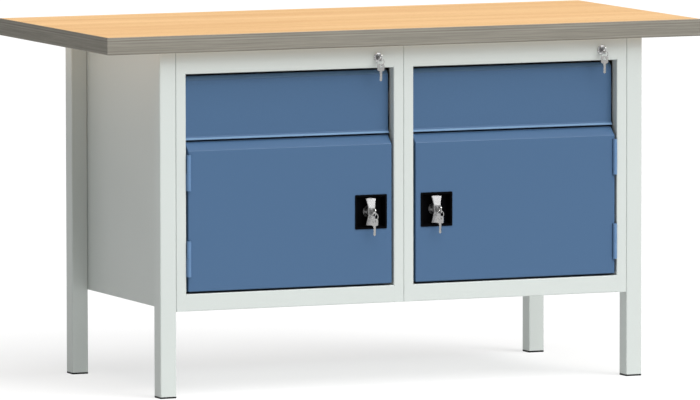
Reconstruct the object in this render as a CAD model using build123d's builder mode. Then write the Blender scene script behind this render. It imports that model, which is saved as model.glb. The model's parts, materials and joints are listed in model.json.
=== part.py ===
from build123d import *
from math import cos, radians, sin
import os

os.makedirs("parts", exist_ok=True)

# Whole bench: X along its length, Y from front to rear, Z up from the floor, origin under the middle
bench_length = 1500.0
bench_depth = 700.0
bench_height = 840.0
worktop_thickness = 40.0
worktop_edge_break = 2.0

# Legs of square tube with plastic feet
leg_size = 40.0
leg_wall = 2.0
leg_corner_radius = 3.0
end_overhang = 140.0
front_overhang = 30.0
rear_overhang = 70.0
foot_thickness = 4.0
foot_plug_height = 20.0
foot_plug_clearance = 0.2

# Folded sheet of the two cabinets
sheet = 1.2
bend_radius = 1.2
seam_fill = 1.9
floor_clearance = 200.0
stile_width = 25.0
top_rail_height = 52.0
bottom_rail_height = 40.0
jamb_depth = 28.0
jamb_lip = 12.0
side_rear_flange = 20.0
rail_top_flange = 40.0
rail_return_depth = 24.0
rail_return_lip = 10.0
back_top_flange = 30.0
floor_front_return = 15.0
floor_rear_flange = 20.0
panel_clearance = 1.5

# Frame bolts and worktop screws
bolt_diameter = 8.0
bolt_hole_diameter = 8.4
bolt_head_across_flats = 13.0
bolt_head_height = 5.3
leg_bolt_reach = 16.0
front_bolt_inset = 32.0
rear_bolt_inset = 22.0
low_bolt_height = 90.0
middle_bolt_height = 320.0
top_bolt_drop = 55.0
joining_bolt_front_inset = 60.0
joining_bolt_reach = 14.0
nut_height = 6.5
nut_bore_clearance = 0.05
screw_diameter = 5.0
screw_clearance = 0.05
screw_hole_diameter = 5.6
screw_head_diameter = 10.0
screw_head_height = 3.2
screw_reach = 25.0
screw_inset_from_side = 130.0
screw_inset_from_edge = 16.0

# Shelves and their clips
shelf_height = 230.0
shelf_flange = 25.0
shelf_front_gap = 50.0
shelf_rear_gap = 10.0
shelf_side_gap = 4.0
clip_length = 30.0
clip_tab = 14.0
clip_leg = 20.0
clip_sheet = 2.0
clip_inset = 60.0

# Drawers and their telescopic slides
drawer_gap = 5.0
drawer_recess = 22.0
drawer_front_height = 146.5
drawer_top_gap = 6.5
drawer_bevel = 10.0
drawer_flange_depth = 16.0
drawer_lip_rise = 7.0
drawer_lip_reach = 7.0
drawer_return_depth = 7.0
drawer_box_sheet = 1.0
drawer_rear_gap = 68.4
drawer_box_height = 97.0
drawer_box_lift = 20.0
drawer_box_rim = 6.0
slide_rear_gap = 67.6
slide_height = 45.0
slide_thickness = 12.7
slide_sheet = 1.2
slide_bend = 0.4
slide_front_gap = 2.0
slide_lift = 70.0
slide_outer_flange = 9.5
slide_middle_inset = 2.5
slide_middle_flange = 8.0
slide_inner_flange = 7.2
ball_gap = 2.0
ball_clearance = 0.15
ball_row_width = 2.4
ball_row_inset = 3.8
carrier_height = 60.0
carrier_rear_gap = 27.6

# Doors with a slanted top and weld-on hinges
door_gap = 5.0
door_depth = 22.0
door_slant_height = 19.5
door_rim = 12.0
stiffener_width = 60.0
stiffener_depth = 14.0
stiffener_flange = 12.0
stiffener_inset = 25.0
hinge_diameter = 10.0
hinge_pin_diameter = 6.0
hinge_pin_clearance = 0.05
hinge_length = 83.0
hinge_split = 0.6
hinge_axis_inset = 5.8
hinge_axis_proud = 1.8
hinge_leaf_thickness = 2.0
hinge_leaf_width = 18.0
hinge_notch_clearance = 0.5
upper_hinge_drop = 70.0
lower_hinge_rise = 76.0

# Turn handles in square dishes, with a latch tongue behind each door
dish_size = 80.0
dish_edge_gap = 13.0
dish_height = 168.5
dish_flange = 3.0
dish_flange_thickness = 1.5
dish_wall = 1.5
dish_depth = 17.0
dish_taper = 4.0
dish_corner_radius = 2.0
grip_length = 62.0
grip_end_width = 26.0
grip_waist = 17.0
grip_crown = 1.5
grip_thickness = 8.0
grip_proud = 6.0
grip_land = 20.0
grip_arm_fall = 4.0
grip_edge_break = 1.2
grip_hub_diameter = 29.0
grip_hub_thickness = 3.0
grip_stem_diameter = 16.0
grip_shaft_diameter = 12.0
shaft_clearance = 0.05
hub_gap = 0.3
tongue_length = 67.0
tongue_width = 18.0
tongue_thickness = 3.0
tongue_gap = 1.0
tongue_seat = 8.0
seat_clearance = 0.1

# Cylinder locks, keys and key rings
lock_edge_inset = 40.0
lock_rise = 25.0
lock_bezel_diameter = 21.0
lock_bezel_thickness = 2.0
lock_housing_diameter = 18.0
lock_hole_clearance = 0.1
lock_nut_diameter = 24.0
lock_nut_thickness = 4.0
drawer_plug_diameter = 13.0
door_plug_diameter = 10.0
plug_proud = 1.0
plug_clearance = 0.05
plug_bottom = 1.0
cam_length = 40.0
cam_width = 14.0
cam_thickness = 2.0
cam_gap = 0.6
cam_seat = 6.0
key_bow = 17.0
key_bow_radius = 4.0
key_bow_hole = 7.4
key_hole_inset = 6.0
key_shank = 24.0
key_shank_width = 5.5
key_thickness = 2.0
key_neck = 4.0
key_cut_depths = (0.8, 1.6, 1.1, 1.9)
key_cut_pitch = 3.6
key_cut_width = 3.2
key_slot_clearance = 0.1
ring_radius = 8.5
ring_wire = 1.4
spare_key_turn = 45.0
ring_rest_depth = 1.9
key_hang_clearance = 1.7

# Planes and levels worked out from the sizes above
front_y = front_overhang - bench_depth / 2
rear_y = bench_depth / 2 - rear_overhang
leg_outer_x = bench_length / 2 - end_overhang
cabinet_edge_x = leg_outer_x - leg_size
cabinet_top_z = bench_height - worktop_thickness
cabinet_bottom_z = floor_clearance
cabinet_height = cabinet_top_z - cabinet_bottom_z
opening_top_z = cabinet_top_z - top_rail_height
opening_bottom_z = cabinet_bottom_z + bottom_rail_height
inner_rear_y = rear_y - 2 * sheet
bend_outer = bend_radius + sheet
drawer_top_z = opening_top_z - drawer_top_gap
drawer_bottom_z = drawer_top_z - drawer_front_height
drawer_face_y = front_y + drawer_recess
drawer_back_y = drawer_face_y + drawer_flange_depth
door_top_z = drawer_bottom_z - drawer_gap
door_bottom_z = opening_bottom_z + door_gap
door_back_y = front_y + door_depth
slide_front_y = front_y + jamb_depth + slide_front_gap
slide_length = inner_rear_y - slide_rear_gap - slide_front_y
carrier_length = inner_rear_y - carrier_rear_gap - slide_front_y
slide_z = drawer_bottom_z + slide_lift
drawer_box_front_y = drawer_face_y + sheet
drawer_box_rear_y = inner_rear_y - drawer_rear_gap
drawer_box_bottom_z = drawer_bottom_z + drawer_box_lift
drawer_box_top_z = drawer_box_bottom_z + drawer_box_height
hinge_heights = (door_bottom_z + lower_hinge_rise, door_top_z - upper_hinge_drop)
hinge_y = front_y - hinge_axis_proud
handle_z = door_bottom_z + dish_height
dish_front_y = front_y - dish_flange_thickness
dish_floor_y = front_y + dish_depth
grip_front_y = front_y - grip_proud
tongue_y = front_y + jamb_depth + tongue_gap
lock_z = opening_top_z + lock_rise
cam_y = drawer_back_y + cam_gap
shelf_top_z = cabinet_bottom_z + shelf_height
shelf_front_y = front_y + shelf_front_gap
shelf_rear_y = inner_rear_y - shelf_rear_gap
inner_width = cabinet_edge_x - 2 * sheet
opening_width = cabinet_edge_x - 2 * stile_width
drawer_front_width = opening_width - 2 * drawer_gap
drawer_box_width = opening_width - 2 * slide_thickness
door_width = opening_width - 2 * door_gap

# Each cabinet reaches from the middle of the bench outwards, to the left or to the right
cabinet_sides = {"left": -1, "right": 1}
cabinet_middles = {side: sign * cabinet_edge_x / 2 for side, sign in cabinet_sides.items()}
lock_places = {
    side: middle_x + opening_width / 2 - lock_edge_inset
    for side, middle_x in cabinet_middles.items()
}


def save(builder, name):
    """Label a finished piece and write it to its own file."""
    builder.part.label = name
    export_step(builder.part, f"parts/{name}.step")


def fold(points, thickness, metal_side=1, bend=bend_radius):
    """Section of a folded sheet: points along its outer face, metal to their left, or right for -1."""
    outer = [Vector(*point) for point in points]
    runs = [(end - start).normalized() for start, end in zip(outer, outer[1:])]
    normals = [Vector(-run.Y, run.X) * metal_side for run in runs]
    inner = [outer[0] + normals[0] * thickness]
    for corner, before, after in zip(outer[1:-1], normals, normals[1:]):
        inner.append(corner + (before + after) * (thickness / (1 + before.dot(after))))
    inner.append(outer[-1] + normals[-1] * thickness)
    # each bend has the plain radius on the side that it turns to, and a sheet more on the other
    towards_metal = [a.cross(b).Z * metal_side > 0 for a, b in zip(runs, runs[1:])]
    outer_radii = [bend + thickness if towards else bend for towards in towards_metal]
    inner_radii = [bend if towards else bend + thickness for towards in towards_metal]
    with BuildLine() as outline:
        outer_line = FilletPolyline(*outer, radius=outer_radii)
        inner_line = FilletPolyline(*inner, radius=inner_radii)
        Line(outer_line @ 0, inner_line @ 0)
        Line(outer_line @ 1, inner_line @ 1)
    make_face(outline.edges())


# Worktop, a thick multiplex board with eased edges and pilot holes for its screws
screw_x = [
    side * across
    for side in cabinet_sides.values()
    for across in (screw_inset_from_side, cabinet_edge_x - screw_inset_from_side)
]
screw_y = (front_y + screw_inset_from_edge, inner_rear_y - screw_inset_from_edge)
screw_places = [(x, y) for x in screw_x for y in screw_y]

with BuildPart() as worktop:
    with BuildSketch(Plane.XY.offset(cabinet_top_z)):
        Rectangle(bench_length, bench_depth)
    extrude(amount=worktop_thickness)
    chamfer(worktop.faces().sort_by(Axis.Z)[-1].edges(), worktop_edge_break)
    chamfer(worktop.faces().sort_by(Axis.Z)[0].edges(), worktop_edge_break)
    with BuildSketch(Plane.XY.offset(cabinet_top_z)):
        with Locations(*screw_places):
            Circle(screw_diameter / 2 + screw_clearance)
    extrude(amount=screw_reach, mode=Mode.SUBTRACT)
save(worktop, "worktop")

with BuildPart() as worktop_screws:
    with BuildSketch(Plane.XY.offset(cabinet_top_z - sheet)):
        with Locations(*screw_places):
            Circle(screw_diameter / 2)
    extrude(amount=sheet + screw_reach - screw_clearance)
    with BuildSketch(Plane.XY.offset(cabinet_top_z - sheet)):
        with Locations(*screw_places):
            RegularPolygon(screw_head_diameter / 2, 6)
    extrude(amount=-screw_head_height)
save(worktop_screws, "worktop_screws")

# Legs, bolted from inside the cabinets through their outer sides
leg_x = leg_outer_x - leg_size / 2
front_leg_y = front_y + leg_size / 2
rear_leg_y = rear_y - leg_size / 2
bolt_heights = (
    cabinet_bottom_z + low_bolt_height,
    cabinet_bottom_z + middle_bolt_height,
    cabinet_top_z - top_bolt_drop,
)
leg_bolt_rows = {"front": front_y + front_bolt_inset, "rear": rear_y - rear_bolt_inset}
leg_bolt_places = [(y, z) for y in leg_bolt_rows.values() for z in bolt_heights]
leg_rows = {"front": front_leg_y, "rear": rear_leg_y}

for row, leg_y in leg_rows.items():
    for side, sign in cabinet_sides.items():
        with BuildPart() as leg:
            with BuildSketch(Plane.XY.offset(foot_thickness)):
                with Locations((sign * leg_x, leg_y)):
                    RectangleRounded(leg_size, leg_size, leg_corner_radius)
                    inner_size = leg_size - 2 * leg_wall
                    Rectangle(inner_size, inner_size, mode=Mode.SUBTRACT)
            extrude(amount=cabinet_top_z - foot_thickness)
            with BuildSketch(Plane.YZ.offset(sign * cabinet_edge_x)):
                with Locations(*[(leg_bolt_rows[row], z) for z in bolt_heights]):
                    Circle(bolt_hole_diameter / 2)
            extrude(amount=sign * 2 * leg_wall, mode=Mode.SUBTRACT)
        save(leg, f"{row}_{side}_leg")

with BuildPart() as leg_feet:
    leg_places = [(s * leg_x, y) for s in cabinet_sides.values() for y in leg_rows.values()]
    with BuildSketch(Plane.XY):
        with Locations(*leg_places):
            RectangleRounded(leg_size, leg_size, leg_corner_radius)
    extrude(amount=foot_thickness)
    with BuildSketch(Plane.XY.offset(foot_thickness)):
        with Locations(*leg_places):
            plug_size = leg_size - 2 * leg_wall - 2 * foot_plug_clearance
            Rectangle(plug_size, plug_size)
    extrude(amount=foot_plug_height)
save(leg_feet, "leg_feet")

with BuildPart() as leg_bolts:
    for sign in cabinet_sides.values():
        seat_x = sign * (cabinet_edge_x - sheet)
        with BuildSketch(Plane.YZ.offset(seat_x)):
            with Locations(*leg_bolt_places):
                RegularPolygon(bolt_head_across_flats / 2, 6, major_radius=False)
        extrude(amount=-sign * bolt_head_height)
        with BuildSketch(Plane.YZ.offset(seat_x)):
            with Locations(*leg_bolt_places):
                Circle(bolt_diameter / 2)
        extrude(amount=sign * leg_bolt_reach)
save(leg_bolts, "leg_bolts")

# Bolts and nuts that hold the two cabinets together back to back
joining_y = (front_y + joining_bolt_front_inset, rear_y - rear_bolt_inset)
joining_places = [(y, z) for y in joining_y for z in bolt_heights[:2]]

with BuildPart() as joining_bolts:
    with BuildSketch(Plane.YZ.offset(-sheet)):
        with Locations(*joining_places):
            RegularPolygon(bolt_head_across_flats / 2, 6, major_radius=False)
    extrude(amount=-bolt_head_height)
    with BuildSketch(Plane.YZ.offset(-sheet)):
        with Locations(*joining_places):
            Circle(bolt_diameter / 2)
    extrude(amount=joining_bolt_reach)
    with BuildSketch(Plane.YZ.offset(sheet)):
        with Locations(*joining_places):
            RegularPolygon(bolt_head_across_flats / 2, 6, major_radius=False)
            Circle(bolt_diameter / 2 + nut_bore_clearance, mode=Mode.SUBTRACT)
    extrude(amount=nut_height)
save(joining_bolts, "joining_bolts")


def side_section(face_x, inward):
    """Outer line of a cabinet side, from its rear flange round to the front post's inner lip."""
    jamb_x = face_x + inward * stile_width
    return [
        (face_x + inward * side_rear_flange, rear_y),
        (face_x, rear_y),
        (face_x, front_y),
        (jamb_x, front_y),
        (jamb_x, front_y + jamb_depth),
        (jamb_x - inward * jamb_lip, front_y + jamb_depth),
    ]


# Cabinet carcasses: two folded sides, back, floor with bottom rail, and lock rail
for side, sign in cabinet_sides.items():
    side_faces = {
        "outer": (sign * cabinet_edge_x, -sign, leg_bolt_places),
        "inner": (0, sign, joining_places),
    }
    posts = []
    for place, (face_x, inward, holes) in side_faces.items():
        with BuildPart() as cabinet_side:
            with BuildSketch(Plane.XY.offset(cabinet_bottom_z)):
                fold(side_section(face_x, inward), sheet, inward)
            extrude(amount=cabinet_height)
            with BuildSketch(Plane.YZ.offset(face_x)):
                with Locations(*holes):
                    Circle(bolt_hole_diameter / 2)
            extrude(amount=inward * 2 * sheet, mode=Mode.SUBTRACT)
        save(cabinet_side, f"{side}_{place}_side")
        posts.append(cabinet_side.part)

    middle_x = cabinet_middles[side]
    screw_spots = [(x, y) for x, y in screw_places if x * sign > 0]

    with BuildPart() as back_panel:
        with BuildSketch(Plane.YZ.offset(middle_x)):
            fold(
                [
                    (rear_y - sheet, cabinet_bottom_z),
                    (rear_y - sheet, cabinet_top_z),
                    (rear_y - sheet - back_top_flange, cabinet_top_z),
                ],
                sheet,
            )
        extrude(amount=inner_width / 2 - panel_clearance, both=True)
        with BuildSketch(Plane.XY.offset(cabinet_top_z)):
            with Locations(*screw_spots):
                Circle(screw_hole_diameter / 2)
        extrude(amount=-2 * sheet, mode=Mode.SUBTRACT)
    save(back_panel, f"{side}_back_panel")

    with BuildPart() as cabinet_floor:
        with BuildSketch(Plane.YZ.offset(middle_x)):
            fold(
                [
                    (inner_rear_y, opening_bottom_z - floor_rear_flange),
                    (inner_rear_y, opening_bottom_z),
                    (front_y, opening_bottom_z),
                    (front_y, cabinet_bottom_z),
                    (front_y + floor_front_return, cabinet_bottom_z),
                ],
                sheet,
            )
        extrude(amount=inner_width / 2 - panel_clearance, both=True)
        post_places = [(middle_x + s * (opening_width + stile_width) / 2, front_y) for s in (-1, 1)]
        with BuildSketch(Plane.XY.offset(cabinet_bottom_z)):
            with Locations(*post_places):
                Rectangle(stile_width, 2 * jamb_depth)
        extrude(amount=bottom_rail_height, mode=Mode.SUBTRACT)
        # the face runs on over the posts' rounded corners, where the welded seams are ground flush
        with BuildSketch(Plane.XZ.offset(-front_y)):
            with Locations((middle_x, (cabinet_bottom_z + opening_bottom_z) / 2)):
                Rectangle(opening_width + 2 * seam_fill, bottom_rail_height - 2 * bend_outer)
        extrude(amount=-sheet)
        add(posts, mode=Mode.SUBTRACT)
    save(cabinet_floor, f"{side}_floor")

    with BuildPart() as lock_rail:
        with BuildSketch(Plane.YZ.offset(middle_x)):
            fold(
                [
                    (front_y + rail_top_flange, cabinet_top_z),
                    (front_y, cabinet_top_z),
                    (front_y, opening_top_z),
                    (front_y + rail_return_depth, opening_top_z),
                    (front_y + rail_return_depth, opening_top_z + rail_return_lip),
                ],
                sheet,
            )
        extrude(amount=opening_width / 2, both=True)
        with BuildSketch(Plane.XZ.offset(-front_y)):
            with Locations((middle_x, (opening_top_z + cabinet_top_z) / 2)):
                Rectangle(opening_width + 2 * seam_fill, top_rail_height - 2 * bend_outer)
        extrude(amount=-sheet)
        add(posts, mode=Mode.SUBTRACT)
        with BuildSketch(Plane.XZ.offset(-front_y)):
            with Locations((lock_places[side], lock_z)):
                Circle(lock_housing_diameter / 2 + lock_hole_clearance)
        extrude(amount=-2 * sheet, mode=Mode.SUBTRACT)
        with BuildSketch(Plane.XY.offset(cabinet_top_z)):
            with Locations(*screw_spots):
                Circle(screw_hole_diameter / 2)
        extrude(amount=-2 * sheet, mode=Mode.SUBTRACT)
    save(lock_rail, f"{side}_lock_rail")

    with BuildPart() as shelf:
        with BuildSketch(Plane.YZ.offset(middle_x)):
            fold(
                [
                    (shelf_rear_y, shelf_top_z - shelf_flange),
                    (shelf_rear_y, shelf_top_z),
                    (shelf_front_y, shelf_top_z),
                    (shelf_front_y, shelf_top_z - shelf_flange),
                ],
                sheet,
            )
        extrude(amount=inner_width / 2 - shelf_side_gap, both=True)
    save(shelf, f"{side}_shelf")

# Shelf clips: small angles on the cabinet sides, with a tab under the shelf
with BuildPart() as shelf_clips:
    for sign in cabinet_sides.values():
        for wall_x, inward in ((sign * (cabinet_edge_x - sheet), -sign), (sign * sheet, sign)):
            for clip_y in (shelf_front_y + clip_inset, shelf_rear_y - clip_inset):
                tab_z = shelf_top_z - sheet
                with BuildSketch(Plane.XZ.offset(-clip_y)):
                    fold(
                        [
                            (wall_x + inward * clip_tab, tab_z),
                            (wall_x, tab_z),
                            (wall_x, tab_z - clip_leg),
                        ],
                        clip_sheet,
                        inward,
                    )
                extrude(amount=clip_length / 2, both=True)
save(shelf_clips, "shelf_clips")

# Telescopic slides: carrier channel, cabinet member, middle member with ball rows, drawer member
with BuildPart() as slide_carriers:
    for sign in cabinet_sides.values():
        for wall_x, inward in ((sign * (cabinet_edge_x - sheet), -sign), (sign * sheet, sign)):
            rail_x = wall_x + inward * (stile_width - sheet)
            with BuildSketch(Plane.XZ.offset(-slide_front_y)):
                fold(
                    [
                        (wall_x, slide_z - carrier_height / 2),
                        (rail_x, slide_z - carrier_height / 2),
                        (rail_x, slide_z + carrier_height / 2),
                        (wall_x, slide_z + carrier_height / 2),
                    ],
                    sheet,
                    inward,
                )
            extrude(amount=-carrier_length)
save(slide_carriers, "slide_carriers")


def channel(web_x, flange, height, inward):
    """Section of a slide member: a channel with its web at web_x, open to the inward side."""
    fold(
        [
            (web_x + inward * flange, slide_z + height / 2),
            (web_x, slide_z + height / 2),
            (web_x, slide_z - height / 2),
            (web_x + inward * flange, slide_z - height / 2),
        ],
        slide_sheet,
        inward,
        slide_bend,
    )


nest_step = 2 * (slide_sheet + ball_gap)
middle_height = slide_height - nest_step
inner_height = middle_height - nest_step
slide_plane = Plane.XZ.offset(-slide_front_y)
ball_row_height = ball_gap - ball_clearance
outer_row_rise = middle_height / 2 + ball_row_height / 2
inner_row_rise = middle_height / 2 - slide_sheet - ball_row_height / 2
ball_row_rises = (-outer_row_rise, -inner_row_rise, inner_row_rise, outer_row_rise)


def jamb_lines(sign):
    """The two lines of one opening's jambs, each with the direction into the opening."""
    return (
        (sign * stile_width, sign),
        (sign * (cabinet_edge_x - stile_width), -sign),
    )


with BuildPart() as slide_cabinet_members:
    for sign in cabinet_sides.values():
        for rail_x, inward in jamb_lines(sign):
            with BuildSketch(slide_plane):
                channel(rail_x, slide_outer_flange, slide_height, inward)
            extrude(amount=-slide_length)
save(slide_cabinet_members, "slide_cabinet_members")

for side, sign in cabinet_sides.items():
    with BuildPart() as middle_members:
        for rail_x, inward in jamb_lines(sign):
            web_x = rail_x + inward * slide_middle_inset
            row_x = web_x + inward * (ball_row_inset + ball_row_width / 2)
            with BuildSketch(slide_plane):
                channel(web_x, slide_middle_flange, middle_height, inward)
                with Locations(*[(row_x, slide_z + rise) for rise in ball_row_rises]):
                    Rectangle(ball_row_width, ball_row_height)
            extrude(amount=-slide_length)
    save(middle_members, f"{side}_slide_middle_members")

    with BuildPart() as drawer_members:
        for rail_x, inward in jamb_lines(sign):
            with BuildSketch(slide_plane):
                channel(rail_x + inward * slide_thickness, slide_inner_flange, inner_height, -inward)
            extrude(amount=-slide_length)
    save(drawer_members, f"{side}_slide_drawer_members")

    middle_x = cabinet_middles[side]

    with BuildPart() as drawer_front:
        with BuildSketch(Plane.YZ.offset(middle_x)):
            lip_top_z = drawer_bottom_z + drawer_lip_rise
            fold(
                [
                    (drawer_back_y, drawer_top_z),
                    (drawer_face_y + drawer_bevel, drawer_top_z),
                    (drawer_face_y, drawer_top_z - drawer_bevel),
                    (drawer_face_y, lip_top_z),
                    (drawer_face_y - drawer_lip_reach, drawer_bottom_z),
                ],
                sheet,
            )
        extrude(amount=drawer_front_width / 2, both=True)
        # returns at both ends stop short of the slides
        return_face_y = drawer_face_y + sheet / 2
        return_back_y = drawer_face_y + drawer_return_depth
        return_base_z = lip_top_z + bend_outer
        return_top_z = drawer_top_z - drawer_bevel
        for end in (-1, 1):
            with BuildSketch(Plane.YZ.offset(middle_x + end * drawer_front_width / 2)):
                Polygon(
                    (return_face_y, return_base_z),
                    (return_face_y, return_top_z),
                    (return_back_y, return_top_z + drawer_return_depth - sheet),
                    (return_back_y, return_base_z),
                    align=None,
                )
            extrude(amount=-end * sheet)
    save(drawer_front, f"{side}_drawer_front")

    half_box = drawer_box_width / 2
    with BuildPart() as drawer_box:
        with BuildSketch(Plane.XZ.offset(-drawer_box_front_y)):
            fold(
                [
                    (middle_x - half_box + drawer_box_rim, drawer_box_top_z),
                    (middle_x - half_box, drawer_box_top_z),
                    (middle_x - half_box, drawer_box_bottom_z),
                    (middle_x + half_box, drawer_box_bottom_z),
                    (middle_x + half_box, drawer_box_top_z),
                    (middle_x + half_box - drawer_box_rim, drawer_box_top_z),
                ],
                drawer_box_sheet,
            )
        extrude(amount=drawer_box_front_y - drawer_box_rear_y)
    save(drawer_box, f"{side}_drawer_box")

    with BuildPart() as drawer_back:
        with BuildSketch(Plane.YZ.offset(middle_x)):
            back_top_z = drawer_box_top_z - drawer_box_sheet
            fold(
                [
                    (drawer_box_rear_y, drawer_box_bottom_z + drawer_box_sheet),
                    (drawer_box_rear_y, back_top_z),
                    (drawer_box_rear_y - drawer_box_rim, back_top_z),
                ],
                drawer_box_sheet,
            )
        extrude(amount=half_box - drawer_box_sheet - panel_clearance, both=True)
    save(drawer_back, f"{side}_drawer_back")

# Keys: one outline, from the bow's outer end to the shank's tip, for keys in their locks and spare keys
key_slot_width = key_thickness + 2 * key_slot_clearance
key_slot_height = key_shank_width + 2 * key_slot_clearance
key_slot_depth = key_shank - key_neck + key_slot_clearance
spare_key_normal = (cos(radians(spare_key_turn)), sin(radians(spare_key_turn)), 0)


def key_outline():
    """Rounded bow with a ring hole, and a pointed shank with its cuts."""
    half_shank = key_shank_width / 2
    with Locations((key_bow / 2, 0)):
        RectangleRounded(key_bow, key_bow, key_bow_radius)
    Polygon(
        (key_bow, half_shank),
        (key_bow + key_shank - half_shank, half_shank),
        (key_bow + key_shank, 0),
        (key_bow + key_shank - half_shank, -half_shank),
        (key_bow, -half_shank),
        align=None,
    )
    for index, depth in enumerate(key_cut_depths):
        cut_x = key_bow + key_shank - (index + 2) * key_cut_pitch
        Polygon(
            (cut_x - key_cut_width / 2, half_shank),
            (cut_x, half_shank - depth),
            (cut_x + key_cut_width / 2, half_shank),
            align=None,
            mode=Mode.SUBTRACT,
        )
    with Locations((key_hole_inset, 0)):
        Circle(key_bow_hole / 2, mode=Mode.SUBTRACT)


def ring_outline():
    """Flat ring of square wire."""
    Circle(ring_radius + ring_wire / 2)
    Circle(ring_radius - ring_wire / 2, mode=Mode.SUBTRACT)


def bow_end_y(plug_face_y):
    """Outer end of the bow of a key that stands in a lock plug."""
    return plug_face_y - key_neck - key_bow


def inserted_key_plane(x, plug_face_y, z):
    """Upright plane of a key in its plug, from the bow's outer end inwards."""
    return Plane((x, bow_end_y(plug_face_y), z), x_dir=(0, 1, 0), z_dir=(1, 0, 0))


def ring_plane(x, plug_face_y, z):
    """Plane of a key ring that hangs through the bow's hole, square to the key."""
    centre = (x, bow_end_y(plug_face_y) + key_hole_inset, z - ring_rest_depth - ring_radius)
    return Plane(centre, x_dir=(1, 0, 0), z_dir=(0, -1, 0))


def spare_key_plane(x, plug_face_y, z):
    """Plane of a spare key that hangs down from its ring, turned to the side."""
    ring_bottom_z = z - ring_rest_depth - 2 * ring_radius
    hole_z = ring_bottom_z + ring_wire / 2 + key_hang_clearance - key_bow_hole / 2
    bow_end = (x, bow_end_y(plug_face_y) + key_hole_inset, hole_z + key_hole_inset)
    return Plane(bow_end, x_dir=(0, 0, -1), z_dir=spare_key_normal)


# Doors: pressed panels with a slanted top and a hat stiffener, weld-on hinges, turn handles with locks
hinge_half = hinge_length / 2
door_places = {side: sign * (cabinet_edge_x - stile_width) for side, sign in cabinet_sides.items()}

with BuildPart() as hinge_frame_halves:
    for side, jamb_x in door_places.items():
        inward = -cabinet_sides[side]
        axis_x = jamb_x + inward * hinge_axis_inset
        leaf_x = jamb_x + inward * hinge_leaf_thickness / 2
        for hinge_z in hinge_heights:
            with BuildSketch(Plane.XY.offset(hinge_z - hinge_half)):
                with Locations((axis_x, hinge_y)):
                    Circle(hinge_diameter / 2)
                with Locations((leaf_x, front_y + hinge_leaf_width / 2)):
                    Rectangle(hinge_leaf_thickness, hinge_leaf_width)
            extrude(amount=hinge_half)
            with BuildSketch(Plane.XY.offset(hinge_z)):
                with Locations((axis_x, hinge_y)):
                    Circle(hinge_pin_diameter / 2)
            extrude(amount=hinge_half - hinge_leaf_thickness)
save(hinge_frame_halves, "hinge_frame_halves")

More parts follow.
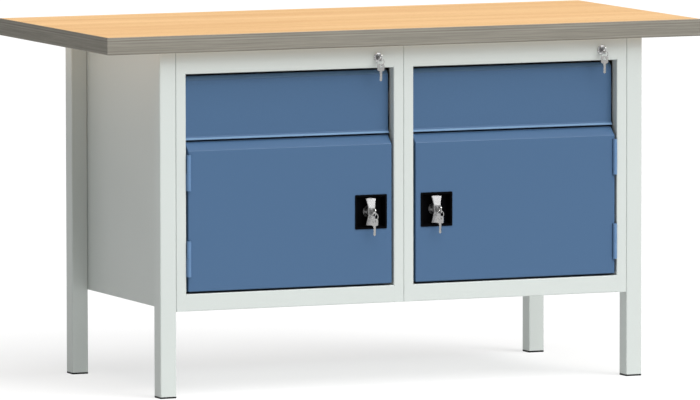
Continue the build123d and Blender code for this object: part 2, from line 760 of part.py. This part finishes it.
for side, sign in cabinet_sides.items():
    inward = -sign
    jamb_x = door_places[side]
    axis_x = jamb_x + inward * hinge_axis_inset
    edge_x = jamb_x + inward * door_gap
    middle_x = cabinet_middles[side]
    handle_x = edge_x + inward * (door_width - dish_edge_gap - dish_size / 2)

    with BuildPart() as door_panel:
        with BuildSketch(Plane.YZ.offset(middle_x)):
            with BuildLine():
                Polyline(
                    (door_back_y, door_bottom_z),
                    (front_y, door_bottom_z),
                    (front_y, door_top_z - door_slant_height),
                    (door_back_y, door_top_z),
                    close=True,
                )
            make_face()
        extrude(amount=door_width / 2, both=True)
        rear_edges = door_panel.faces().sort_by(Axis.Y)[-1].edges()
        fillet(door_panel.edges() - rear_edges, bend_outer)
        offset(amount=-sheet, openings=door_panel.faces().sort_by(Axis.Y)[-1])
        rim_height = door_top_z - door_bottom_z
        with BuildSketch(Plane.XZ.offset(-door_back_y)):
            with Locations((middle_x, (door_top_z + door_bottom_z) / 2)):
                RectangleRounded(door_width, rim_height, bend_outer)
                Rectangle(door_width - 2 * door_rim, rim_height - 2 * door_rim, mode=Mode.SUBTRACT)
        extrude(amount=sheet)
        stiffener_base_z = door_bottom_z + stiffener_inset
        skin_y = front_y + sheet
        half_hat = stiffener_width / 2
        with BuildSketch(Plane.XY.offset(stiffener_base_z)):
            fold(
                [
                    (middle_x + half_hat + stiffener_flange, skin_y + sheet),
                    (middle_x + half_hat, skin_y + sheet),
                    (middle_x + half_hat, skin_y + stiffener_depth),
                    (middle_x - half_hat, skin_y + stiffener_depth),
                    (middle_x - half_hat, skin_y + sheet),
                    (middle_x - half_hat - stiffener_flange, skin_y + sheet),
                ],
                sheet,
            )
        extrude(amount=door_top_z - door_slant_height - stiffener_inset - stiffener_base_z)
        notch = hinge_diameter + 2 * hinge_notch_clearance
        for hinge_z in hinge_heights:
            with BuildSketch(Plane.XY.offset(hinge_z - hinge_half - hinge_notch_clearance)):
                with Locations((axis_x, hinge_y)):
                    Rectangle(notch, notch)
            extrude(amount=hinge_length + 2 * hinge_notch_clearance, mode=Mode.SUBTRACT)
        with BuildSketch(Plane.XZ.offset(-front_y)):
            with Locations((handle_x, handle_z)):
                cut_size = dish_size - 2 * dish_flange
                Rectangle(cut_size, cut_size)
        extrude(amount=-2 * sheet, mode=Mode.SUBTRACT)
    save(door_panel, f"{side}_door_panel")

    with BuildPart() as hinge_door_halves:
        leaf_x = edge_x - inward * hinge_leaf_thickness / 2
        for hinge_z in hinge_heights:
            with BuildSketch(Plane.XY.offset(hinge_z + hinge_split)):
                with Locations((axis_x, hinge_y)):
                    Circle(hinge_diameter / 2)
                with Locations((leaf_x, front_y + hinge_leaf_width / 2)):
                    Rectangle(hinge_leaf_thickness, hinge_leaf_width)
                with Locations((axis_x, hinge_y)):
                    Circle(hinge_pin_diameter / 2 + hinge_pin_clearance, mode=Mode.SUBTRACT)
            extrude(amount=hinge_half - hinge_split)
    save(hinge_door_halves, f"{side}_hinge_door_halves")

    with BuildPart() as handle_dish:
        pocket_size = dish_size - 2 * dish_flange - 2 * dish_wall
        with BuildSketch(Plane.XZ.offset(-dish_front_y)):
            with Locations((handle_x, handle_z)):
                RectangleRounded(dish_size, dish_size, dish_corner_radius)
        extrude(amount=-dish_flange_thickness)
        with BuildSketch(Plane.XZ.offset(-front_y)):
            with Locations((handle_x, handle_z)):
                Rectangle(pocket_size + 2 * dish_wall, pocket_size + 2 * dish_wall)
        with BuildSketch(Plane.XZ.offset(-dish_floor_y)):
            with Locations((handle_x, handle_z)):
                floor_size = pocket_size + 2 * dish_wall - 2 * dish_taper
                Rectangle(floor_size, floor_size)
        loft()
        with BuildSketch(Plane.XZ.offset(-dish_front_y)):
            with Locations((handle_x, handle_z)):
                Rectangle(pocket_size, pocket_size)
        with BuildSketch(Plane.XZ.offset(dish_wall - dish_floor_y)):
            with Locations((handle_x, handle_z)):
                Rectangle(floor_size - 2 * dish_wall, floor_size - 2 * dish_wall)
        loft(mode=Mode.SUBTRACT)
        with BuildSketch(Plane.XZ.offset(-dish_floor_y)):
            with Locations((handle_x, handle_z)):
                Circle(grip_shaft_diameter / 2 + shaft_clearance)
        extrude(amount=2 * dish_wall, mode=Mode.SUBTRACT)
    save(handle_dish, f"{side}_handle_dish")

    grip_back_y = grip_front_y + grip_thickness
    hub_back_y = dish_floor_y - dish_wall - hub_gap
    plug_face_y = grip_front_y - plug_proud
    plug_back_y = plug_face_y + key_shank - key_neck + plug_bottom
    with BuildPart() as handle_grip:
        end_x = grip_end_width / 2
        end_z = grip_length / 2
        waist_x = grip_waist / 2
        with BuildSketch(Plane((handle_x, grip_front_y, handle_z), x_dir=(1, 0, 0), z_dir=(0, -1, 0))):
            with BuildLine():
                ThreePointArc((end_x, end_z), (0, end_z + grip_crown), (-end_x, end_z))
                ThreePointArc((-end_x, end_z), (-waist_x, 0), (-end_x, -end_z))
                ThreePointArc((-end_x, -end_z), (0, -end_z - grip_crown), (end_x, -end_z))
                ThreePointArc((end_x, -end_z), (waist_x, 0), (end_x, end_z))
            make_face()
        extrude(amount=-grip_thickness)
        # its arms fall back from the land round the lock
        arm_top = end_z + grip_crown
        with BuildSketch(Plane.YZ.offset(handle_x)):
            for way in (-1, 1):
                Polygon(
                    (grip_front_y, handle_z + way * grip_land / 2),
                    (grip_front_y, handle_z + way * arm_top),
                    (grip_front_y + grip_arm_fall, handle_z + way * arm_top),
                    align=None,
                )
        extrude(amount=grip_end_width, both=True, mode=Mode.SUBTRACT)
        # the land and the two arms have their outer edges broken, but not the creases between them
        front_faces = handle_grip.faces().sort_by(Axis.Y)[:3]
        creases = handle_grip.edges().filter_by(Axis.X)
        chamfer(front_faces.edges() - creases, grip_edge_break)
        with BuildSketch(Plane.XZ.offset(-grip_back_y)):
            with Locations((handle_x, handle_z)):
                Circle(grip_stem_diameter / 2)
        extrude(amount=grip_back_y - hub_back_y)
        with BuildSketch(Plane.XZ.offset(-hub_back_y)):
            with Locations((handle_x, handle_z)):
                Circle(grip_hub_diameter / 2)
        extrude(amount=grip_hub_thickness)
        with BuildSketch(Plane.XZ.offset(-hub_back_y)):
            with Locations((handle_x, handle_z)):
                Circle(grip_shaft_diameter / 2)
        extrude(amount=hub_back_y - tongue_y)
        with BuildSketch(Plane.XZ.offset(-tongue_y)):
            with Locations((handle_x, handle_z)):
                Rectangle(tongue_seat, tongue_seat)
        extrude(amount=-tongue_thickness)
        with BuildSketch(Plane.XZ.offset(-grip_front_y)):
            with Locations((handle_x, handle_z)):
                Circle(door_plug_diameter / 2 + plug_clearance)
        extrude(amount=grip_front_y - plug_back_y, mode=Mode.SUBTRACT)
    save(handle_grip, f"{side}_handle_grip")

    with BuildPart() as latch_tongue:
        reach = tongue_length - tongue_width / 2
        with BuildSketch(Plane.XZ.offset(-tongue_y)):
            with Locations((handle_x, handle_z + reach / 2)):
                SlotCenterToCenter(reach, tongue_width, rotation=90)
            with Locations((handle_x, handle_z)):
                seat_hole = tongue_seat + 2 * seat_clearance
                Rectangle(seat_hole, seat_hole, mode=Mode.SUBTRACT)
        extrude(amount=-tongue_thickness)
    save(latch_tongue, f"{side}_latch_tongue")

    # Lock plug in the middle of the grip, its key, and the spare key that hangs on it
    with BuildPart() as door_lock_plug:
        with BuildSketch(Plane.XZ.offset(-plug_face_y)):
            with Locations((handle_x, handle_z)):
                Circle(door_plug_diameter / 2)
        extrude(amount=plug_face_y - plug_back_y)
        with BuildSketch(Plane.XZ.offset(-plug_face_y)):
            with Locations((handle_x, handle_z)):
                Rectangle(key_slot_width, key_slot_height)
        extrude(amount=-key_slot_depth, mode=Mode.SUBTRACT)
    save(door_lock_plug, f"{side}_door_lock_plug")

    with BuildPart() as door_key:
        with BuildSketch(inserted_key_plane(handle_x, plug_face_y, handle_z)):
            key_outline()
        extrude(amount=key_thickness / 2, both=True)
    save(door_key, f"{side}_door_key")

    with BuildPart() as door_spare_key:
        with BuildSketch(ring_plane(handle_x, plug_face_y, handle_z)):
            ring_outline()
        extrude(amount=ring_wire / 2, both=True)
        with BuildSketch(spare_key_plane(handle_x, plug_face_y, handle_z)):
            key_outline()
        extrude(amount=key_thickness / 2, both=True)
    save(door_spare_key, f"{side}_door_spare_key")

# Drawer locks in the lock rails: housings with nuts, plugs, cams, keys and spare keys
lock_face_y = front_y - lock_bezel_thickness
drawer_plug_face_y = lock_face_y - plug_proud
housing_back_y = cam_y - cam_gap

with BuildPart() as drawer_lock_housings:
    for lock_x in lock_places.values():
        with BuildSketch(Plane.XZ.offset(-front_y)):
            with Locations((lock_x, lock_z)):
                Circle(lock_bezel_diameter / 2)
        extrude(amount=lock_bezel_thickness)
        with BuildSketch(Plane.XZ.offset(-front_y)):
            with Locations((lock_x, lock_z)):
                Circle(lock_housing_diameter / 2)
        extrude(amount=front_y - housing_back_y)
        with BuildSketch(Plane.XZ.offset(-lock_face_y)):
            with Locations((lock_x, lock_z)):
                Circle(drawer_plug_diameter / 2 + plug_clearance)
        extrude(amount=lock_face_y - housing_back_y, mode=Mode.SUBTRACT)
        with BuildSketch(Plane.XZ.offset(-front_y - sheet)):
            with Locations((lock_x, lock_z)):
                RegularPolygon(lock_nut_diameter / 2, 6, major_radius=False)
                Circle(lock_housing_diameter / 2 + nut_bore_clearance, mode=Mode.SUBTRACT)
        extrude(amount=-lock_nut_thickness)
save(drawer_lock_housings, "drawer_lock_housings")

for side, lock_x in lock_places.items():
    with BuildPart() as drawer_lock_plug:
        with BuildSketch(Plane.XZ.offset(-drawer_plug_face_y)):
            with Locations((lock_x, lock_z)):
                Circle(drawer_plug_diameter / 2)
        extrude(amount=drawer_plug_face_y - cam_y)
        with BuildSketch(Plane.XZ.offset(-cam_y)):
            with Locations((lock_x, lock_z)):
                Rectangle(cam_seat, cam_seat)
        extrude(amount=-cam_thickness)
        with BuildSketch(Plane.XZ.offset(-drawer_plug_face_y)):
            with Locations((lock_x, lock_z)):
                Rectangle(key_slot_width, key_slot_height)
        extrude(amount=-key_slot_depth, mode=Mode.SUBTRACT)
    save(drawer_lock_plug, f"{side}_drawer_lock_plug")

    with BuildPart() as drawer_lock_cam:
        reach = cam_length - cam_width / 2
        with BuildSketch(Plane.XZ.offset(-cam_y)):
            with Locations((lock_x - reach / 2, lock_z)):
                SlotCenterToCenter(reach, cam_width)
            with Locations((lock_x, lock_z)):
                seat_hole = cam_seat + 2 * seat_clearance
                Rectangle(seat_hole, seat_hole, mode=Mode.SUBTRACT)
        extrude(amount=-cam_thickness)
    save(drawer_lock_cam, f"{side}_drawer_lock_cam")

    with BuildPart() as drawer_key:
        with BuildSketch(inserted_key_plane(lock_x, drawer_plug_face_y, lock_z)):
            key_outline()
        extrude(amount=key_thickness / 2, both=True)
    save(drawer_key, f"{side}_drawer_key")

    with BuildPart() as drawer_spare_key:
        with BuildSketch(ring_plane(lock_x, drawer_plug_face_y, lock_z)):
            ring_outline()
        extrude(amount=ring_wire / 2, both=True)
        with BuildSketch(spare_key_plane(lock_x, drawer_plug_face_y, lock_z)):
            key_outline()
        extrude(amount=key_thickness / 2, both=True)
    save(drawer_spare_key, f"{side}_drawer_spare_key")
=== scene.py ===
import json
from math import radians

import bpy
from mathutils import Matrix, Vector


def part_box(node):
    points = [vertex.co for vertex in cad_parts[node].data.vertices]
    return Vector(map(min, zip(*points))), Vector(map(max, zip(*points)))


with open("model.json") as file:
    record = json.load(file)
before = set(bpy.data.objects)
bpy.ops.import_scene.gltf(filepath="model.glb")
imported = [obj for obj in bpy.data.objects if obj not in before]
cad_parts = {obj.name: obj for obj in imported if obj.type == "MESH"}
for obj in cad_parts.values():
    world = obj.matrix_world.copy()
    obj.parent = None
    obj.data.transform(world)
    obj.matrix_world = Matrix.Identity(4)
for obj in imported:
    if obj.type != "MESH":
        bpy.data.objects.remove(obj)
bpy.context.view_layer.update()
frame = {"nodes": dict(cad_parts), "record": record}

# Camera of the photograph: long lens from the front left, a little above the worktop.
# Places are in metres, turns in degrees, lens and sensor in millimetres.
CAMERA_PLACE = (-8.1709, -19.2763, 2.3359)
CAMERA_TURN = (84.747, 0.084, -22.979)
CAMERA_LENS = 458.5
SENSOR_WIDTH = 36.0
CLIP_START = 0.1
CLIP_END = 200

# Soft lights from far away: name, strength, width in degrees, turn in degrees
LIGHTS = (
    ("key_light", 1.36, 36, (60, 0, 30)),
    ("top_light", 3.75, 60, (26, 0, 20)),
    ("left_fill", 0.15, 20, (78, 0, -108)),
)
WORLD_STRENGTH = 0.04

# Pale floor, lit from below as a light table is, so that shadows stay faint
FLOOR_SIZE = 120
FLOOR_DARK = 0.26
FLOOR_LIGHT = 0.28
FLOOR_ROUGHNESS = 0.9
FLOOR_GLOW = 0.7

# Base colours
WHITE = (1, 1, 1, 1)
FRAME_GREY = (0.515, 0.55, 0.53)
BLUE = (0.0525, 0.1115, 0.2095)
# Lighter blue on the hinges: a painted highlight on their barrels
HINGE_HIGHLIGHT_BLUE = (0.105, 0.195, 0.34)
# Lighter blue painted on drawer fronts: a painted highlight on the lip and painted light on the shaded
# bevelled top
PAINTED_HIGHLIGHT_BLUE = (0.15, 0.255, 0.395)
FOOT_BLACK = (0.005, 0.005, 0.0055)
DISH_BLACK = (0.0015, 0.0015, 0.002)
CHROME = (0.36, 0.36, 0.365)
LOCK_CHROME = (0.8, 0.8, 0.81)
NICKEL = (0.47, 0.468, 0.462)
ZINC = (0.5, 0.52, 0.55)
PORE_BROWN = (0.42, 0.21, 0.085)

# Colour stops over a noise: beech veneer, and the plies at its edges
VENEER_STOPS = (
    (0.28, (0.72, 0.427, 0.196)),
    (0.5, (0.81, 0.513, 0.252)),
    (0.72, (0.878, 0.577, 0.301)),
)
PLY_STOPS = (
    (0.32, (0.165, 0.148, 0.12)),
    (0.5, (0.205, 0.193, 0.162)),
    (0.68, (0.245, 0.235, 0.203)),
)

# Scales of a noise on X, Y and Z: a small one draws it out along that axis
EVEN = (1, 1, 1)
FIGURE_SCALE = (0.7, 14, 1)
STREAK_SCALE = (3, 190, 1)
PORE_SCALE = (55, 1400, 1)
PLY_SCALE = (0.05, 0.05, 330)
FIBRE_SCALE = (7, 7, 900)
TRIM_BRUSH = (60, 900, 60)
KEY_BRUSH = (900, 90, 90)
SLIDE_BRUSH = (900, 12, 900)
# Patchiness of the painted highlight and painted light on drawer fronts
HIGHLIGHT_PATCH_SCALE = (6, 40, 40)

# Most of a noise lies between these values
NOISE_LOW = 0.3
NOISE_HIGH = 0.7

# Size of the normal's upright part at which the worktop's edge turns into its face
EDGE_UPRIGHT = 0.86
FACE_UPRIGHT = 0.94

# Specular level of paint and wood, half of the shader's default
SATIN = 0.25

# Lip and bevelled top of a drawer front, painted lighter as a painted highlight on the lip and painted
# light on the bevel in the lock rail's shade, and the fade at their border, in metres
LIP_HIGHLIGHT = 0.0045
TOP_BEVEL = 0.010
HIGHLIGHT_FADE = 0.0012

# Sockets of a mix node that mixes colours
MIX_SHARE, MIX_FIRST, MIX_SECOND = 0, 6, 7
MIX_RESULT = 2


def grey(value):
    return (value, value, value)


def shade(colour, amount):
    return tuple(value * amount for value in colour)


def new_material(name):
    """Material with a principled shader, and its node tree."""
    material = bpy.data.materials.new(name)
    material.use_nodes = True
    tree = material.node_tree
    return material, tree, tree.nodes["Principled BSDF"]


def add(tree, kind, links=None, inputs=None, **settings):
    """Node with settings, input values and links from other nodes' sockets."""
    made = tree.nodes.new(kind)
    for key, value in settings.items():
        setattr(made, key, value)
    for key, value in (inputs or {}).items():
        made.inputs[key].default_value = value
    for key, socket in (links or {}).items():
        tree.links.new(socket, made.inputs[key])
    return made


def noise(tree, scale=EVEN, size=1.0, detail=3.0, roughness=0.5):
    """Noise over object coordinates, scaled on each axis."""
    place = add(tree, "ShaderNodeTexCoord").outputs["Object"]
    scaled = add(tree, "ShaderNodeMapping", {"Vector": place}, {"Scale": scale})
    return add(
        tree,
        "ShaderNodeTexNoise",
        {"Vector": scaled.outputs["Vector"]},
        {"Scale": size, "Detail": detail, "Roughness": roughness},
    ).outputs["Fac"]


def ramp(tree, factor, stops):
    """Colour ramp through (position, colour) stops."""
    made = add(tree, "ShaderNodeValToRGB", {"Fac": factor})
    elements = made.color_ramp.elements
    while len(elements) < len(stops):
        elements.new(0.5)
    for element, (position, colour) in zip(elements, stops):
        element.position = position
        element.color = (*colour, 1)
    return made.outputs["Color"]


def two_tones(tree, factor, first, second, start=NOISE_LOW, end=NOISE_HIGH):
    """Colour ramp from one colour to another."""
    return ramp(tree, factor, [(start, first), (end, second)])


def blend(tree, first, second, share, mode="MIX"):
    """Mix of two colours; each of the three may be a socket."""
    made = add(tree, "ShaderNodeMix", data_type="RGBA", blend_type=mode)
    for key, value in ((MIX_SHARE, share), (MIX_FIRST, first), (MIX_SECOND, second)):
        if isinstance(value, bpy.types.NodeSocket):
            tree.links.new(value, made.inputs[key])
        elif isinstance(value, tuple):
            made.inputs[key].default_value = (*value, 1)
        else:
            made.inputs[key].default_value = value
    return made.outputs[MIX_RESULT]


def spread(tree, factor, low, high):
    """Noise spread over a range of values."""
    return add(
        tree,
        "ShaderNodeMapRange",
        {"Value": factor},
        {"From Min": NOISE_LOW, "From Max": NOISE_HIGH, "To Min": low, "To Max": high},
    ).outputs["Result"]


def rise(tree, value, start, end):
    """Value from 0 at start to 1 at end."""
    return add(
        tree,
        "ShaderNodeMapRange",
        {"Value": value},
        {"From Min": start, "From Max": end},
    ).outputs["Result"]


def calculate(tree, operation, *values):
    """Math node over sockets."""
    made = add(tree, "ShaderNodeMath", dict(enumerate(values)), operation=operation)
    return made.outputs["Value"]


def bump(tree, shader, height, strength, distance):
    """Surface relief on a shader."""
    made = add(
        tree,
        "ShaderNodeBump",
        {"Height": height},
        {"Strength": strength, "Distance": distance},
    )
    tree.links.new(made.outputs["Normal"], shader.inputs["Normal"])


def painted_highlight_mask(tree):
    """Mask of a drawer front's lip and bevelled top, a little uneven, where a painted highlight and
    painted light are laid.
    """
    low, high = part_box("left_drawer_front")
    place = add(tree, "ShaderNodeTexCoord").outputs["Object"]
    axes = add(tree, "ShaderNodeSeparateXYZ", {"Vector": place}).outputs
    lip_back = low[1] + LIP_HIGHLIGHT
    lip = rise(tree, axes["Y"], lip_back, lip_back - HIGHLIGHT_FADE)
    bevel_low = high[2] - TOP_BEVEL
    bevel = rise(tree, axes["Z"], bevel_low, bevel_low + HIGHLIGHT_FADE)
    # Uneven strength of the painted highlight and painted light
    patchiness = spread(tree, noise(tree, HIGHLIGHT_PATCH_SCALE, detail=2.0), 0.75, 1.0)
    return calculate(tree, "MULTIPLY", calculate(tree, "MAXIMUM", lip, bevel), patchiness)


def powder_coat(name, colour, highlight_colour=None):
    """Baked powder paint: fine orange peel, slow drift of tone and gloss, and, if a highlight colour is
    given, a painted highlight on the drawer lip and painted light on the bevelled top.
    """
    material, tree, shader = new_material(name)
    shader.inputs["Specular IOR Level"].default_value = SATIN
    drift = noise(tree, size=1.6, detail=1.0)
    tone = two_tones(tree, drift, shade(colour, 0.985), shade(colour, 1.015))
    specks = two_tones(tree, noise(tree, size=900.0, detail=1.0), grey(0), grey(1), start=0.35, end=0.65)
    tone = blend(tree, tone, specks, share=0.05, mode="OVERLAY")
    # Painted highlight and painted light: the lighter colour over the masked lip and bevel
    if highlight_colour:
        tone = blend(tree, tone, highlight_colour, share=painted_highlight_mask(tree))
    tree.links.new(tone, shader.inputs["Base Color"])
    gloss = spread(tree, noise(tree, size=5.0, detail=1.0), 0.36, 0.42)
    tree.links.new(gloss, shader.inputs["Roughness"])
    bump(tree, shader, noise(tree, size=420.0, detail=2.0), strength=0.06, distance=0.0003)
    return material


def beech_top(name):
    """Multiplex top: beech veneer on the faces, stacked plies along the edges."""
    material, tree, shader = new_material(name)
    shader.inputs["Specular IOR Level"].default_value = SATIN

    veneer = ramp(tree, noise(tree, FIGURE_SCALE, detail=4.0, roughness=0.55), VENEER_STOPS)
    streaks = noise(tree, STREAK_SCALE, detail=5.0, roughness=0.6)
    streak_tones = two_tones(tree, streaks, grey(0.36), grey(0.6), end=0.68)
    veneer = blend(tree, veneer, streak_tones, share=0.35, mode="OVERLAY")
    pores = noise(tree, PORE_SCALE, detail=2.0)
    veneer = blend(tree, veneer, PORE_BROWN, share=two_tones(tree, pores, grey(0.5), grey(0), end=0.42))

    edge = ramp(tree, noise(tree, PLY_SCALE, detail=1.0), PLY_STOPS)
    fibres = noise(tree, FIBRE_SCALE, detail=4.0, roughness=0.65)
    fibre_tones = two_tones(tree, fibres, grey(0.25), grey(0.72))
    edge = blend(tree, edge, fibre_tones, share=0.55, mode="OVERLAY")

    normal = add(tree, "ShaderNodeNewGeometry").outputs["Normal"]
    upright = add(tree, "ShaderNodeSeparateXYZ", {"Vector": normal}).outputs["Z"]
    flatness = calculate(tree, "ABSOLUTE", upright)
    face = two_tones(tree, flatness, grey(0), grey(1), start=EDGE_UPRIGHT, end=FACE_UPRIGHT)
    tree.links.new(blend(tree, edge, veneer, share=face), shader.inputs["Base Color"])

    gloss = blend(tree, grey(0.62), grey(0.5), share=face)
    streak_gloss = two_tones(tree, streaks, grey(0.2), grey(0.9))
    gloss = blend(tree, gloss, streak_gloss, share=0.2, mode="OVERLAY")
    tree.links.new(gloss, shader.inputs["Roughness"])

    edge_relief = two_tones(tree, fibres, grey(0), grey(1), start=0.2, end=0.8)
    face_relief = two_tones(tree, pores, grey(0), grey(1), end=0.5)
    relief = blend(tree, edge_relief, face_relief, share=face)
    bump(tree, shader, relief, strength=0.3, distance=0.0004)
    return material


def moulded_plastic(name, colour, roughness, gloss):
    """Black plastic with a fine moulded grain."""
    material, tree, shader = new_material(name)
    shader.inputs["Specular IOR Level"].default_value = gloss
    drift = noise(tree, size=25.0)
    tone = two_tones(tree, drift, shade(colour, 0.8), shade(colour, 1.25))
    tree.links.new(tone, shader.inputs["Base Color"])
    grain = noise(tree, size=1600.0, detail=2.0)
    tree.links.new(spread(tree, grain, roughness - 0.07, roughness + 0.07), shader.inputs["Roughness"])
    bump(tree, shader, grain, strength=0.25, distance=0.0003)
    return material


def bare_metal(name, colour, roughness, brush, relief):
    """Metal with brushed or drawn lines along one direction."""
    material, tree, shader = new_material(name)
    shader.inputs["Metallic"].default_value = 1.0
    lines = noise(tree, brush, detail=4.0, roughness=0.6)
    drift = noise(tree, size=45.0, detail=4.0)
    tone = two_tones(tree, drift, shade(colour, 0.88), shade(colour, 1.08))
    line_tones = two_tones(tree, lines, grey(0.2), grey(0.8))
    tone = blend(tree, tone, line_tones, share=0.12, mode="OVERLAY")
    tree.links.new(tone, shader.inputs["Base Color"])
    tree.links.new(spread(tree, lines, roughness * 0.75, roughness * 1.25), shader.inputs["Roughness"])
    bump(tree, shader, lines, strength=relief, distance=0.0002)
    return material


def floor_paper(name):
    """Plain pale floor that glows a little."""
    material, tree, shader = new_material(name)
    grain = noise(tree, size=3.0, detail=2.0)
    tone = two_tones(tree, grain, grey(FLOOR_DARK), grey(FLOOR_LIGHT), start=0.2, end=0.8)
    tree.links.new(tone, shader.inputs["Base Color"])
    shader.inputs["Roughness"].default_value = FLOOR_ROUGHNESS
    shader.inputs["Emission Color"].default_value = WHITE
    shader.inputs["Emission Strength"].default_value = FLOOR_GLOW
    return material


def sun(name, strength, width, turn):
    """Wide soft light from far away."""
    lamp = bpy.data.lights.new(name, "SUN")
    lamp.energy = strength
    lamp.angle = radians(width)
    holder = bpy.data.objects.new(name, lamp)
    holder.rotation_euler = [radians(value) for value in turn]
    bpy.context.scene.collection.objects.link(holder)


# Materials by slot, and those of single nodes
slots = {
    "worktop_wood": beech_top("beech_top"),
    "frame_paint": powder_coat("light_grey_coat", FRAME_GREY),
    "front_paint": powder_coat("blue_coat", BLUE),
    "foot_plastic": moulded_plastic("black_foot", FOOT_BLACK, roughness=0.55, gloss=0.15),
    "dish_plastic": moulded_plastic("black_dish", DISH_BLACK, roughness=0.5, gloss=0.02),
    "chrome_trim": bare_metal("chrome", CHROME, roughness=0.28, brush=TRIM_BRUSH, relief=0.05),
    "key_metal": bare_metal("nickel", NICKEL, roughness=0.26, brush=KEY_BRUSH, relief=0.12),
    "zinc_steel": bare_metal("zinc", ZINC, roughness=0.36, brush=SLIDE_BRUSH, relief=0.12),
}
# Drawer fronts carry a painted highlight on the lip and painted light on the bevelled top
drawer_highlight_coat = powder_coat("drawer_highlight_coat", BLUE, PAINTED_HIGHLIGHT_BLUE)
# Hinges in a lighter blue, a painted highlight on their barrels
hinge_highlight_coat = powder_coat("hinge_highlight_coat", HINGE_HIGHLIGHT_BLUE)
lock_chrome = bare_metal("lock_chrome", LOCK_CHROME, roughness=0.16, brush=TRIM_BRUSH, relief=0.05)

for entry in frame["record"]["subparts"]:
    node = entry["node"]
    material = slots[entry["material_slot"]]
    if node.endswith("drawer_front"):
        material = drawer_highlight_coat
    elif "hinge" in node:
        material = hinge_highlight_coat
    elif node == "drawer_lock_housings":
        material = lock_chrome
    mesh = frame["nodes"][node].data
    mesh.materials.clear()
    mesh.materials.append(material)

bpy.ops.mesh.primitive_plane_add(size=FLOOR_SIZE)
floor = bpy.context.object
floor.name = "studio_floor"
floor.data.materials.append(floor_paper("pale_floor"))

for light in LIGHTS:
    sun(*light)

world = bpy.data.worlds.new("studio")
world.use_nodes = True
sky = world.node_tree.nodes["Background"]
sky.inputs["Color"].default_value = WHITE
sky.inputs["Strength"].default_value = WORLD_STRENGTH
bpy.context.scene.world = world
bpy.context.scene.view_settings.view_transform = "Standard"

lens = bpy.data.cameras.new("photo_camera")
lens.lens = CAMERA_LENS
lens.sensor_width = SENSOR_WIDTH
lens.clip_start = CLIP_START
lens.clip_end = CLIP_END
camera = bpy.data.objects.new("photo_camera", lens)
camera.location = CAMERA_PLACE
camera.rotation_euler = [radians(value) for value in CAMERA_TURN]
bpy.context.scene.collection.objects.link(camera)
bpy.context.scene.camera = camera
